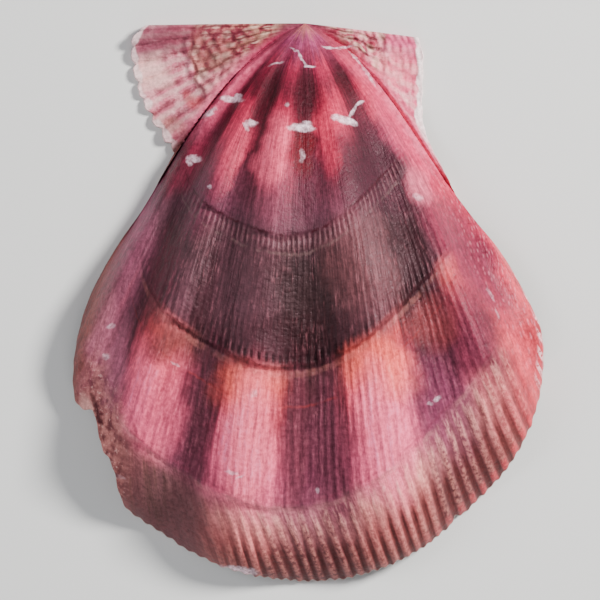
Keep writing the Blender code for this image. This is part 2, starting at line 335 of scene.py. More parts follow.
def disc_ribs(number, slope, v):
    """Low ribs of the grown stages, and the high ones of the last, smooth on the lower left."""
    coarse = np.cos(2 * math.pi * number)
    hair = np.cos(4 * math.pi * number)
    middle = 1.0 - smooth_step(np.abs(slope), 0.50, 0.72)
    grown = middle * smooth_step(v, 0.385, 0.40) * (1.0 - smooth_step(v, 0.865, 0.885))
    strength = grown * (0.030 + 0.035 * smooth_step(v, 0.50, 0.61))
    strength += middle * (0.04 * bell(v, 0.40, 0.012) + 0.09 * bell(v, 0.606, 0.012))
    strength *= 1.0 + 0.8 * soft_noise(number * 0.5, v * 14.0, 21)
    broad = np.cos(2 * math.pi * BAND_RIBS * number)
    last = COARSE_RIB_HEIGHT * smooth_step(v, 0.885, 0.945)
    last *= 0.80 + 0.60 * soft_noise(number * 0.3, v * 20.0, 22)
    last *= 1.0 - 0.85 * smooth_step(slope, -0.10, -0.24)
    last *= 1.0 - 0.90 * smooth_step(slope, 0.50, 0.68)
    bumps = 0.14 * bell(v, 0.905, 0.014) * np.clip(broad, 0.0, 1.0) * middle
    return strength * coarse + last * broad + 0.02 * grown * hair + bumps


def front_ear_ribs(number, v):
    """Rounded ribs with scales near the beak, and smooth lobes past the step."""
    across = np.abs(np.cos(math.pi * number)) ** 0.6
    scales = 0.5 + 0.5 * np.cos(2 * math.pi * (v * 17.0 + np.floor(number + 0.5) * 0.37))
    scales *= 0.75 + 0.5 * soft_noise(number * 0.9, v * 15.0, 33)
    young = 1.0 - smooth_step(v, EAR_STEP - 0.02, EAR_STEP + 0.02)
    height = 0.50 * across * (1.0 - young * 0.75 * scales)
    step = 0.50 * smooth_step(v, 0.3, EAR_STEP) * young
    rough = 0.16 * soft_noise(number * 2.3, v * 30.0, 31) * (0.35 + 0.65 * young)
    return (height + step + rough) * smooth_step(v, 0.10, 0.35) - 0.2


def back_ear_ribs(number, v):
    """Finer ribs with small scales."""
    across = np.abs(np.cos(math.pi * number)) ** 0.7
    scales = 0.5 + 0.5 * np.cos(2 * math.pi * (v * 16.0 + np.floor(number + 0.5) * 0.41))
    rough = 0.16 * soft_noise(number * 2.1, v * 26.0, 41)
    return (0.38 * across * (1.0 - 0.65 * scales) + rough) * smooth_step(v, 0.10, 0.35) - 0.1


def underside_relief(plan, along, v):
    """The muscle's scar, the ligament's pit under the beak and the margin's small teeth."""
    scar = np.hypot(*((plan - SCAR_CENTRE) / SCAR_HALF).T)
    height = -SCAR_DEPTH * (1.0 - smooth_step(scar, 0.93, 1.02))
    height += 0.03 * np.cos(scar * 60.0) * (1.0 - smooth_step(scar, 0.8, 0.95))
    pit = np.hypot(*((plan - PIT_CENTRE) / PIT_HALF).T)
    height += PIT_DEPTH * (1.0 - smooth_step(pit, 0.4, 1.0))
    height += 0.16 * np.cos(2 * math.pi * COARSE_RIBS * along) * smooth_step(v, 0.90, 0.96)
    return height


def shape(kind, along, v, inside):
    """Places in millimetres and the fields that the material reads, for sheet points."""
    edge = edge_of(kind, along, v)
    own_growth = broken_growth(kind, along, v)
    edge_slope = edge[:, 0] / np.maximum(edge[:, 1], 1e-6)
    plan = place_on_plan(edge, own_growth - lag(edge_slope, own_growth) * (kind == 1))
    share = dome_share(plan)[0]
    dome = dome_height(plan)
    on_ear = (kind != 1) * smooth_step(share, 1.0, 1.06)
    on_disc = 1.0 - on_ear
    slope, rib_place, grown = ray_through(plan)
    wave = fold_wave(slope)
    folds = FOLD_HEIGHT * np.minimum(1.0, grown / 0.8) ** 0.8 * wave
    folds *= on_disc * smooth_step(grown, 0.0, 0.10) * (1.0 + 0.35 * bell(grown, 0.2, 0.14))
    lift = on_disc * FOLD_HEIGHT * smooth_step(grown, 0.6, 1.0) * (
        1.0 - smooth_step(np.abs(slope), 0.80, 0.98))
    hinge = 1.0 - smooth_step(plan[:, 1], 1.0, 7.0)
    plate = RIM_THICKNESS + (HINGE_THICKNESS - RIM_THICKNESS) * hinge
    old_ear = smooth_step(own_growth, 1.0, 0.6) * smooth_step(own_growth, 0.0, 0.1)
    plate += EAR_SWELLING * on_ear * old_ear
    notch = np.where(plan[:, 0] < 0.0, DISC_EDGE[0][1], DISC_EDGE[-1][1])
    by_crease = smooth_step(plan[:, 1], 3.0, 9.0)
    by_crease *= 1.0 - smooth_step(plan[:, 1], notch - 6.0, notch)
    fillet = CREASE_FILLET * bell(share, 1.03, 0.10) + CREASE_FILLING * bell(share, 1.0, 0.04)
    fillet *= by_crease
    skin = plate + dome + folds + lift + fillet

    ledges = on_disc * growth_ledges(slope, rib_place, grown)
    rib = wandering(COARSE_RIBS, rib_place, grown, 61)
    still = 1.0 - smooth_step(own_growth, 0.8, 0.97)
    front_rib = FRONT_EAR_RIBS * along + still * 0.8 * (
        wandering(FRONT_EAR_RIBS, along, own_growth, 62) - FRONT_EAR_RIBS * along)
    back_rib = wandering(BACK_EAR_RIBS, along, own_growth, 63)
    ears = np.where(kind == 0, front_ear_ribs(front_rib, own_growth),
                    back_ear_ribs(back_rib, own_growth))
    ribs = on_disc * disc_ribs(rib, slope, grown) * (kind == 1) + on_ear * ears
    uneven = 0.12 * soft_noise(plan[:, 0] * 0.25, plan[:, 1] * 0.25, 51) * on_disc
    uneven += 0.045 * soft_noise(plan[:, 0] * 1.1, plan[:, 1] * 0.8, 52) * on_disc
    chipped = (kind == 1) * np.exp(-(((along - CHIP_CENTRE) / (CHIP_WIDTH * 1.25)) ** 4))
    chipped = chipped * smooth_step(grown, 0.80, 0.93)
    uneven += 0.32 * chipped * soft_noise(plan[:, 0] * 0.55, plan[:, 1] * 0.4, 53)
    uneven += 0.14 * chipped * soft_noise(plan[:, 0] * 1.9, plan[:, 1] * 1.3, 54)
    away = smooth_step(plan[:, 1], 0.3, 2.5)
    outer = skin + (ledges + ribs + uneven) * away

    wall = RIM_THICKNESS + (WALL_THICKNESS - RIM_THICKNESS) * np.sqrt(dome / DOME_HEIGHT)
    wall += (HINGE_THICKNESS - RIM_THICKNESS + 1.0) * hinge
    inner = skin + 0.4 * ledges * away - wall
    inner += underside_relief(plan, along, own_growth) * (kind == 1)
    inner = np.maximum(0.0, inner)
    outer = np.maximum(outer, inner + 0.45)

    height = outer + (inner - outer) * inside
    bulge = 0.18 * np.sin(math.pi * inside) / np.hypot(*edge.T)
    plan = plan * (1.0 + bulge[:, None])
    place = np.stack([plan[:, 0] + BEAK_X, BEAK_Y - plan[:, 1], height], axis=1)
    fields = {
        "growth": grown, "fold": wave, "slope": slope, "rib": rib, "inside": inside,
        "chipped": chipped, "ear_growth": own_growth,
        "ear_rib": np.where(kind == 0, front_rib, back_rib),
        "front_ear": on_ear * (kind == 0), "back_ear": on_ear * (kind == 2),
        "crease": bell(share, 1.0, 0.06) * by_crease,
    }
    return place, fields


def sheet_rows():
    """Growth and side, 0 outside and 1 inside, of each row from beak over margin to beak."""
    growth, inside = [np.array([0.0])], [np.array([0.0])]
    for low, high, count in OUTER_BANDS:
        growth.append(np.linspace(low, high, count + 1)[1:])
        inside.append(np.zeros(count))
    growth.append(np.ones(RIM_ROWS))
    inside.append(np.arange(1, RIM_ROWS + 1) / RIM_ROWS)
    for high, low, count in INNER_BANDS:
        growth.append(np.linspace(high, low, count + 1)[1:])
        inside.append(np.ones(count))
    return np.concatenate(growth), np.concatenate(inside)


def growth_sheet(growth, inside):
    """A flat grid in sheet coordinates, with more columns the wider the shell has grown."""
    wide, tall = sum(COLUMNS), len(growth) - 1
    bm = bmesh.new()
    bmesh.ops.create_grid(bm, x_segments=wide, y_segments=tall, size=0.5)
    for vert in bm.verts:
        vert.co.x = (vert.co.x + 0.5) * wide
        vert.co.y = (vert.co.y + 0.5) * tall
    for outer_from, inner_from in DOUBLINGS:
        finer = ((growth >= outer_from - 1e-6) & (inside == 0)) | (
            (growth >= inner_from - 1e-6) & (inside > 0))
        first, last = np.flatnonzero(finer)[[0, -1]]
        level = [edge for edge in bm.edges
                 if abs(edge.verts[0].co.y - edge.verts[1].co.y) < 0.1
                 and first - 0.1 < edge.verts[0].co.y < last + 0.1]
        bmesh.ops.subdivide_edges(bm, edges=level, cuts=1)
    bmesh.ops.triangulate(bm, faces=[face for face in bm.faces if len(face.verts) != 4])
    return bm


def close_hinge(bm):
    """Merges the beak's points and fills the long narrow face of the hinge line."""
    bmesh.ops.remove_doubles(bm, verts=bm.verts[:], dist=2e-6)
    bmesh.ops.dissolve_degenerate(bm, edges=bm.edges[:], dist=1e-6)
    rim = [edge for edge in bm.edges if edge.is_boundary]
    bmesh.ops.triangle_fill(bm, use_beauty=True, edges=rim, normal=(0.0, 1.0, 0.0))
    bmesh.ops.recalc_face_normals(bm, faces=bm.faces[:])


def make_valve():
    growth, inside = sheet_rows()
    bm = growth_sheet(growth, inside)
    mesh = bpy.data.meshes.new("valve_shell")
    bm.to_mesh(mesh)
    bm.free()
    flat = np.empty(len(mesh.vertices) * 3)
    mesh.vertices.foreach_get("co", flat)
    column, row = flat.reshape(-1, 3)[:, 0], flat.reshape(-1, 3)[:, 1]
    ends = np.cumsum((0,) + COLUMNS)
    kind = np.clip(np.searchsorted(ends, column + 1e-4) - 1, 0, 2)
    along = np.clip((column - ends[kind]) / np.array(COLUMNS)[kind], 0.0, 1.0)
    rows = np.arange(len(growth))
    place, fields = shape(kind, along, np.interp(row, rows, growth), np.interp(row, rows, inside))
    mesh.vertices.foreach_set("co", (place * MM).astype(np.float32).ravel())
    for name, values in fields.items():
        attribute = mesh.attributes.new(name, "FLOAT", "POINT")
        attribute.data.foreach_set("value", np.asarray(values, dtype=np.float32))
    bm = bmesh.new()
    bm.from_mesh(mesh)
    close_hinge(bm)
    bm.to_mesh(mesh)
    bm.free()
    mesh.shade_smooth()
    mesh.set_sharp_from_angle(angle=math.radians(60.0))
    valve = bpy.data.objects.new("valve_shell", mesh)
    bpy.context.scene.collection.objects.link(valve)
    return valve


def srgb(red, green, blue):
    """Linear colour from sRGB values of 0 to 255, deepened for the strong studio light."""
    linear = (((c / 255 + 0.055) / 1.055) ** 2.4 for c in (red, green, blue))
    return tuple(c**DEEPEN for c in linear) + (1.0,)


class Graph:
    """Short calls for the nodes of one material."""

    def __init__(self, name):
        self.material = bpy.data.materials.new(name)
        self.material.use_nodes = True
        self.tree = self.material.node_tree
        self.surface = self.tree.nodes["Principled BSDF"]

    def put(self, socket, value):
        if isinstance(value, bpy.types.NodeSocket):
            self.tree.links.new(value, socket)
        else:
            socket.default_value = value

    def math(self, operation, first, second=0.0, third=0.0):
        node = self.tree.nodes.new("ShaderNodeMath")
        node.operation = operation
        for socket, value in zip(node.inputs, (first, second, third)):
            self.put(socket, value)
        return node.outputs[0]

    def times(self, *values):
        product = values[0]
        for value in values[1:]:
            product = self.math("MULTIPLY", product, value)
        return product

    def wave(self, value):
        """1 at whole numbers and 0 half way between them."""
        cosine = self.math("COSINE", self.times(value, 2 * math.pi))
        return self.math("MULTIPLY_ADD", cosine, 0.5, 0.5)

    def field(self, name):
        node = self.tree.nodes.new("ShaderNodeAttribute")
        node.attribute_name = name
        return node.outputs["Fac"]

    def vector(self, x, y, z=0.0):
        node = self.tree.nodes.new("ShaderNodeCombineXYZ")
        for socket, value in zip(node.inputs, (x, y, z)):
            self.put(socket, value)
        return node.outputs[0]

    def noise(self, vector, scale, detail=2.0, roughness=0.5):
        node = self.tree.nodes.new("ShaderNodeTexNoise")
        self.put(node.inputs["Vector"], vector)
        node.inputs["Scale"].default_value = scale
        node.inputs["Detail"].default_value = detail
        node.inputs["Roughness"].default_value = roughness
        return node.outputs["Fac"]

    def cells(self, vector, jitter=1.0):
        """Distance from the nearest of many scattered points, and a chance of that point."""
        node = self.tree.nodes.new("ShaderNodeTexVoronoi")
        node.voronoi_dimensions = "2D"
        self.put(node.inputs["Vector"], vector)
        node.inputs["Scale"].default_value = 1.0
        node.inputs["Randomness"].default_value = jitter
        chance = self.tree.nodes.new("ShaderNodeSeparateColor")
        self.put(chance.inputs[0], node.outputs["Color"])
        return node.outputs["Distance"], chance.outputs[0]

    def step(self, value, low, high, start=0.0, end=1.0):
        """Start below low, end above high, smooth between; low may be above high."""
        node = self.tree.nodes.new("ShaderNodeMapRange")
        node.interpolation_type = "SMOOTHSTEP"
        if low > high:
            low, high, start, end = high, low, end, start
        for index, item in enumerate((value, low, high, start, end)):
            self.put(node.inputs[index], item)
        return node.outputs[0]

    def band(self, value, low, high, soft):
        rise = self.step(value, low - soft, low + soft)
        fall = self.step(value, high + soft, high - soft)
        return self.math("MULTIPLY", rise, fall)

    def ramp(self, value, stops):
        node = self.tree.nodes.new("ShaderNodeValToRGB")
        self.put(node.inputs[0], value)
        elements = node.color_ramp.elements
        while len(elements) < len(stops):
            elements.new(1.0)
        for element, (place, colour) in zip(elements, stops):
            element.position = place
            element.color = srgb(*colour)
        return node.outputs[0]

    def mix(self, factor, first, second, blend="MIX"):
        node = self.tree.nodes.new("ShaderNodeMix")
        node.data_type = "RGBA"
        node.blend_type = blend
        node.clamp_factor = True
        node.clamp_result = True
        self.put(node.inputs["Factor"], factor)
        self.put(node.inputs[6], first)
        self.put(node.inputs[7], second)
        return node.outputs[2]

    def shade(self, colour, value):
        """The colour times a grey value."""
        grey = self.tree.nodes.new("ShaderNodeCombineColor")
        for socket in list(grey.inputs)[:3]:
            self.put(socket, value)
        return self.mix(1.0, colour, grey.outputs[0], "MULTIPLY")

    def shaken(self, x, y, scale, reach):
        """A place on plan as two numbers, moved at random by up to half of reach."""
        moved = []
        for value, seed in ((x, 0.0), (y, 7.3)):
            wobble = self.noise(self.vector(self.times(x, scale), self.times(y, scale), seed), 1.0)
            moved.append(self.math("MULTIPLY_ADD", self.math("ADD", wobble, -0.5), reach, value))
        return moved

    def spot(self, place, mark, hard):
        """1 inside an ellipse on plan, as (right, down, half length, half width, turn)."""
        x, y = place
        right, down, long, wide, turn = mark
        centre_x, centre_y = (right + BEAK_X) * MM, (BEAK_Y - down) * MM
        cosine, sine = math.cos(math.radians(turn)), math.sin(math.radians(turn))
        squares = 0.0
        for by_x, by_y, half in ((cosine, -sine, long * MM), (sine, cosine, wide * MM)):
            offset = -(by_x * centre_x + by_y * centre_y) / half
            share = self.math("MULTIPLY_ADD", x, by_x / half, offset)
            share = self.math("MULTIPLY_ADD", y, by_y / half, share)
            squares = self.math("MULTIPLY_ADD", share, share, squares)
        return self.step(squares, (2.0 - hard) ** 2, hard ** 2)


# Colours of the fold crests and of the furrows between them, by growth: the shell's colour rays,
# with painted light on the crests and painted shade in the furrows
CREST_COLOURS = (
    (0.00, (205, 130, 120)), (0.03, (172, 82, 122)), (0.06, (146, 60, 88)),
    (0.09, (180, 52, 88)), (0.13, (136, 48, 70)), (0.17, (196, 58, 92)),
    (0.25, (208, 78, 108)), (0.29, (164, 76, 98)), (0.33, (142, 76, 94)),
    (0.375, (126, 74, 90)), (0.43, (112, 74, 82)), (0.48, (92, 64, 71)),
    (0.58, (102, 66, 76)), (0.605, (108, 68, 78)), (0.63, (205, 108, 114)),
    (0.66, (240, 104, 108)), (0.70, (246, 102, 124)), (0.74, (250, 114, 142)),
    (0.82, (246, 116, 150)), (0.86, (232, 112, 142)), (0.88, (222, 126, 144)),
    (0.91, (224, 140, 140)), (0.95, (186, 108, 108)), (0.98, (156, 92, 90)),
    (1.00, (158, 98, 96)))
FURROW_COLOURS = (
    (0.00, (196, 116, 112)), (0.03, (156, 72, 108)), (0.06, (142, 54, 84)),
    (0.09, (98, 34, 54)), (0.13, (70, 22, 34)), (0.17, (86, 28, 42)),
    (0.23, (100, 38, 54)), (0.29, (104, 50, 66)), (0.37, (98, 58, 72)),
    (0.43, (65, 42, 49)), (0.48, (58, 34, 40)), (0.54, (56, 30, 36)),
    (0.605, (50, 22, 29)), (0.63, (76, 46, 50)), (0.70, (82, 44, 54)),
    (0.82, (116, 60, 80)), (0.86, (140, 78, 98)), (0.885, (176, 108, 122)),
    (0.91, (164, 104, 110)), (0.95, (126, 76, 78)), (1.00, (130, 80, 82)))

# Colours of the flanks by the front and back ears, by growth
FRONT_FLANK_COLOURS = (
    (0.00, (150, 80, 100)), (0.15, (168, 58, 92)), (0.28, (132, 50, 74)),
    (0.40, (96, 60, 72)), (0.52, (108, 70, 82)), (0.60, (150, 92, 112)),
    (0.68, (170, 100, 124)), (0.76, (150, 92, 108)), (0.86, (152, 96, 104)),
    (0.93, (150, 90, 88)), (1.00, (130, 80, 78)))
BACK_FLANK_COLOURS = (
    (0.00, (150, 80, 100)), (0.12, (190, 66, 96)), (0.25, (206, 72, 106)),
    (0.38, (186, 66, 94)), (0.50, (206, 70, 100)), (0.62, (218, 72, 102)),
    (0.75, (220, 78, 106)), (0.88, (214, 84, 100)), (1.00, (190, 74, 84)))

# Broad patches of colour on the outside, as (right of the beak, below the hinge, half
# length, half width, turn in degrees, colour, strength)
PATCHES = (
    (-1.0, 44.5, 8.0, 7.0, 0.0, (58, 46, 46), 0.60),
    (-11.0, 46.0, 4.5, 9.0, 8.0, (102, 66, 76), 0.60),
    (9.5, 42.0, 4.5, 7.5, -10.0, (122, 76, 80), 0.60),
    (19.5, 43.5, 2.4, 8.0, -22.0, (62, 36, 42), 0.90),
    (0.5, 53.5, 13.0, 3.2, 0.0, (50, 22, 28), 0.60),
    (-24.2, 43.0, 2.0, 8.0, 18.0, (100, 48, 62), 0.75),
    (-33.5, 57.0, 2.8, 7.0, 10.0, (184, 112, 134), 0.75),
    (-29.0, 44.0, 1.8, 7.0, 22.0, (98, 54, 70), 0.75),
    (-10.3, 61.0, 4.0, 3.0, -6.0, (236, 108, 92), 0.60),
    (12.5, 58.5, 5.0, 3.4, 20.0, (246, 112, 100), 0.75),
    (-22.5, 54.5, 3.0, 2.8, -30.0, (124, 72, 72), 0.90),
    (22.5, 65.5, 3.6, 6.5, -20.0, (130, 66, 92), 0.75),
    (28.0, 52.5, 3.6, 8.5, -26.0, (74, 36, 52), 0.92),
    (29.5, 42.0, 2.6, 7.5, -34.0, (112, 54, 76), 0.85),
    (13.5, 70.0, 2.6, 9.0, -12.0, (255, 128, 158), 0.75),
    (-9.3, 70.5, 2.8, 9.5, 4.0, (255, 128, 152), 0.75),
    (-24.0, 66.5, 3.0, 7.5, 20.0, (214, 98, 126), 0.65),
    (-1.7, 70.0, 1.8, 9.0, 0.0, (124, 66, 80), 0.70),
    (4.8, 72.0, 2.8, 10.5, -4.0, (112, 60, 76), 0.75),
    (-17.8, 67.0, 2.4, 10.0, 12.0, (104, 56, 70), 0.80),
    (32.0, 63.5, 3.0, 4.0, -30.0, (196, 104, 112), 0.55),
    (21.5, 50.5, 3.0, 3.4, 0.0, (150, 72, 76), 0.60),
    (25.0, 35.0, 3.0, 7.0, -38.0, (128, 50, 74), 0.85),
    (9.3, 24.5, 4.6, 5.5, -20.0, (64, 24, 38), 0.92),
    (13.5, 27.5, 3.2, 4.5, -30.0, (72, 30, 46), 0.88),
    (17.0, 19.5, 2.2, 7.0, -28.0, (206, 70, 112), 0.60),
    (18.7, 27.5, 1.8, 2.6, -30.0, (226, 120, 144), 0.70),
    (-5.3, 22.0, 1.9, 4.6, 12.0, (255, 118, 146), 0.75),
    (3.4, 18.5, 1.4, 5.5, -8.0, (196, 58, 88), 0.70),
    (-0.4, 21.8, 1.5, 3.4, 0.0, (104, 8, 28), 0.90),
    (-0.3, 12.5, 2.6, 3.0, 0.0, (74, 18, 34), 0.75),
    (-7.0, 11.5, 1.2, 4.6, 24.0, (72, 16, 32), 0.80),
    (-9.8, 20.5, 1.2, 5.0, 28.0, (104, 36, 52), 0.65),
    (-12.2, 23.4, 1.5, 4.6, 28.0, (214, 84, 112), 0.70),
    (-20.0, 24.0, 1.8, 4.5, 32.0, (140, 34, 66), 0.65),
    (-17.0, 30.5, 3.0, 4.5, 30.0, (106, 52, 74), 0.60),
    (-24.0, 80.0, 5.5, 3.0, 34.0, (96, 70, 70), 0.75),
)
# Small white marks of the shell near the beak, and small pale dots lower on the disc that are
# painted glints, in the same form without a colour
MARKS_AND_GLINTS = (
    (-12.4, 13.0, 1.4, 0.45, 4.0, 0.90), (-11.4, 12.4, 0.6, 0.30, -20.0, 0.70),
    (-16.2, 15.2, 1.0, 0.36, -32.0, 0.85), (-9.0, 17.2, 0.7, 0.45, 12.0, 0.80),
    (-9.9, 17.8, 0.5, 0.35, 50.0, 0.65), (-0.7, 18.1, 1.6, 0.50, 2.0, 0.90),
    (0.1, 17.5, 0.8, 0.40, -10.0, 0.70), (-18.7, 23.1, 0.9, 0.45, 4.0, 0.80),
    (-19.6, 23.8, 0.5, 0.25, 40.0, 0.50), (6.1, 16.6, 1.3, 0.45, 12.0, 0.90),
    (7.8, 17.0, 0.8, 0.38, 25.0, 0.85), (8.1, 15.2, 1.0, 0.28, -58.0, 0.70),
    (9.2, 13.9, 0.7, 0.30, -30.0, 0.70), (-0.5, 22.8, 0.28, 0.80, 0.0, 0.40),
    (-3.0, 14.1, 0.26, 0.30, 0.0, 0.70), (-1.7, 4.8, 0.7, 0.16, 38.0, 0.60),
    (-0.8, 5.9, 0.9, 0.17, 58.0, 0.75), (0.1, 7.1, 0.6, 0.16, 50.0, 0.75),
    (0.9, 7.5, 0.6, 0.22, 6.0, 0.75), (-5.0, 7.1, 1.0, 0.15, -16.0, 0.45),
    (4.4, 4.2, 1.2, 0.17, 10.0, 0.70), (7.0, 3.9, 1.3, 0.16, -12.0, 0.60),
    (8.6, 6.0, 1.4, 0.17, 48.0, 0.60), (10.8, 9.0, 1.5, 0.18, 56.0, 0.65),
    (-16.1, 27.9, 0.32, 0.30, 0.0, 0.65), (-33.5, 56.4, 0.50, 0.40, 0.0, 0.45),
    (-32.6, 51.4, 0.5, 0.35, -30.0, 0.35), (-8.5, 62.6, 0.42, 0.42, 0.0, 0.35),
    (-21.7, 57.6, 0.6, 0.22, 20.0, 0.28), (-12.3, 75.8, 0.9, 0.24, 8.0, 0.45),
    (-10.8, 76.6, 0.6, 0.20, -20.0, 0.45), (2.1, 78.8, 0.32, 0.36, 0.0, 0.35),
    (22.1, 63.5, 0.50, 0.30, -30.0, 0.50), (21.0, 64.2, 0.35, 0.18, 0.0, 0.30),
    (31.3, 46.0, 0.25, 1.00, -28.0, 0.25), (32.3, 49.3, 0.20, 0.80, -20.0, 0.22),
    (-11.6, 92.7, 2.6, 0.60, 5.0, 0.95), (18.9, 29.5, 0.7, 0.40, 30.0, 0.30),
    (-31.5, 76.5, 0.9, 0.30, 20.0, 0.35),
)


def disc_colour(g, field):
    """Rose folds and dark furrows in stages, partly the shell's colour rays and partly painted
    light on the crests and painted shade in the furrows, with the patches of the photographed
    shell.
    """
    growth, slope = field["growth"], field["slope"]
    share = g.math("MULTIPLY_ADD", field["fold"], 0.46, 0.10)
    share = g.math("MULTIPLY_ADD", field["streaks"], 0.85, share)
    crest = g.step(share, 0.16, 0.90)
    wander = g.math("MULTIPLY_ADD", g.noise(field["sheet"], 0.22, 2.0), 0.07, -0.035)
    near_rest = g.band(growth, 0.585, 0.645, 0.02)
    wander = g.times(wander, g.math("SUBTRACT", 1.0, near_rest))
    place = g.math("ADD", growth, wander)
    # Crest colours on the folds' crests and furrow colours in the furrows: colour rays with painted
    # light and shade in them
    colour = g.mix(crest, g.ramp(place, FURROW_COLOURS), g.ramp(place, CREST_COLOURS))
    slope = g.math("MULTIPLY_ADD", field["streaks"], 0.16, g.math("ADD", slope, -0.08))
    colour = g.mix(g.step(slope, -0.50, -0.62), colour, g.ramp(place, FRONT_FLANK_COLOURS))
    colour = g.mix(g.step(slope, 0.46, 0.60), colour, g.ramp(place, BACK_FLANK_COLOURS))
    broken_up = g.step(field["streaks"], 0.30, 0.60, 0.75, 1.0)
    for *mark, tint, strength in PATCHES:
        inside = g.times(g.spot(field["wavy_plan"], mark, 0.20), strength, broken_up)
        colour = g.mix(inside, colour, srgb(*tint))
    return colour


def riblets(g, field, colour):
    """Fine ribs with painted highlight on their crests and painted shade between them, broken lines
    of painted glint, and pits before the second growth rest painted dark as shade.
    """
    growth, slope = field["growth"], field["slope"]
    coarse = g.wave(field["rib"])
    middle = g.band(slope, -0.52, 0.52, 0.12)
    young = g.band(growth, 0.06, 0.38, 0.02)
    grown = g.times(g.band(growth, 0.39, 0.87, 0.015), middle)
    depth = g.math("ADD", g.times(young, 0.10), g.times(grown, 0.20))
    depth = g.times(depth, g.step(field["patchy"], 0.36, 0.66, 0.10, 1.0))
    # Painted highlight on each fine rib's crest and painted shade between the ribs
    lines = g.math("ADD", g.times(coarse, 0.65), g.times(g.wave(g.times(field["rib"], 2.0)), 0.35))
    lines = g.math("SUBTRACT", lines, 0.5)
    colour = g.shade(colour, g.math("MULTIPLY_ADD", lines, depth, 1.0))
    colour = g.shade(colour, g.step(field["threads"], 0.30, 0.72, 0.80, 1.22))
    # Painted glints in pale pink along the rib tops
    rib_glint = g.times(g.step(field["threads"], 0.52, 0.72), g.step(field["patchy"], 0.40, 0.60), grown)
    colour = g.mix(g.times(rib_glint, 0.12), colour, srgb(240, 160, 172))
    rungs = g.times(g.band(growth, 0.387, 0.413, 0.005), middle)
    rungs = g.times(rungs, g.step(field["patchy"], 0.30, 0.60, 0.30, 1.0))
    colour = g.mix(g.times(rungs, g.step(coarse, 0.45, 0.95), 0.26), colour, srgb(176, 128, 134))
    colour = g.mix(g.times(rungs, g.step(coarse, 0.40, 0.05), 0.30), colour, srgb(72, 22, 36))
    # Pits between the ribs just before the second growth rest, painted nearly black as shade under
    # the overhanging ledge
    pits = g.times(g.step(coarse, 0.55, 0.15), g.band(growth, 0.597, 0.613, 0.004))
    pits = g.times(pits, g.band(slope, -0.27, 0.14, 0.07))
    return g.mix(g.times(pits, 0.78), colour, srgb(36, 10, 18))


def rest_lines(g, field, colour):
    """The dark and pale lines at each growth rest, broken along their length; the dark lines at the
    rests are painted shadow under the ledges.
    """
    growth = g.math("MULTIPLY_ADD", g.noise(field["sheet"], 0.5, 3.0), 0.012, field["growth"])
    dark_part = g.step(field["patchy"], 0.60, 0.42, 0.20, 1.0)
    pale_part = g.step(field["patchy"], 0.42, 0.60, 0.10, 1.0)
    middle = g.band(field["slope"], -0.58, 0.46, 0.10)
    # The dark lines at 0.3845, 0.6215 and 0.8600 are painted shadow under the ledges; the one at
    # 0.6900 is the shell's own colour
    lines = ((0.3845, 0.0018, (70, 14, 30), dark_part, 0.85),
             (0.4200, 0.0026, (134, 108, 106), pale_part, 0.35),
             (0.6215, 0.0030, (44, 12, 22), dark_part, 0.40),
             (0.6320, 0.0060, (226, 150, 140), pale_part, 0.15),
             (0.6900, 0.0018, (160, 56, 50), dark_part, 0.35),
             (0.8600, 0.0024, (120, 50, 70), dark_part, 0.30),
             (0.8740, 0.0050, (226, 160, 160), pale_part, 0.20))
    for at, half, tint, part, strength in lines:
        line = g.band(growth, at + 0.006 - half, at + 0.006 + half, 0.0026)
        colour = g.mix(g.times(line, part, middle, strength), colour, srgb(*tint))
    return colour


def last_band(g, field, colour):
    """The last stage: speckled ridges between brown-red grooves, smooth on the lower left."""
    growth, slope = field["growth"], field["slope"]
    coarse = g.wave(g.times(field["rib"], BAND_RIBS))
    start = g.math("MULTIPLY_ADD", field["patchy"], 0.050, g.step(slope, 0.05, 0.30, 0.905, 0.888))
    begun = g.step(g.math("SUBTRACT", growth, start), 0.0, 0.034)
    ribbed = g.math("MULTIPLY", g.step(slope, -0.22, -0.08, 0.15, 1.0), g.step(slope, 0.66, 0.48))
    groove = g.times(g.step(coarse, 0.58, 0.12), begun, ribbed)
    groove = g.times(groove, g.step(field["streaks"], 0.25, 0.50, 0.60, 1.0))
    colour = g.mix(g.times(groove, 0.80), colour, srgb(88, 40, 40))
    ridge = g.times(g.step(coarse, 0.40, 0.95), g.step(growth, 0.885, 0.915), ribbed)
    ridge = g.times(ridge, g.step(field["grain"], 0.38, 0.60))
    colour = g.mix(g.times(ridge, 0.35), colour, srgb(222, 152, 142))
    knobs = g.times(g.step(field["threads"], 0.42, 0.62), g.band(growth, 0.880, 0.925, 0.014))
    knobs = g.times(knobs, ribbed, g.step(coarse, 0.05, 0.60))
    colour = g.mix(g.times(knobs, 0.32), colour, srgb(242, 182, 170))
    left = g.times(g.band(slope, -0.46, -0.18, 0.05), g.step(growth, 0.87, 0.90))
    colour = g.mix(g.times(left, 0.75), colour, srgb(118, 80, 84))
    olive = g.times(left, g.step(field["streaks"], 0.50, 0.64), g.step(slope, -0.26, -0.32))
    colour = g.mix(g.times(olive, 0.60), colour, srgb(78, 62, 50))
    edge = g.times(g.step(growth, 0.978, 0.99), g.step(coarse, 0.3, 0.8), g.step(slope, 0.1, 0.5))
    return g.mix(g.times(edge, 0.7), colour, srgb(206, 70, 84))


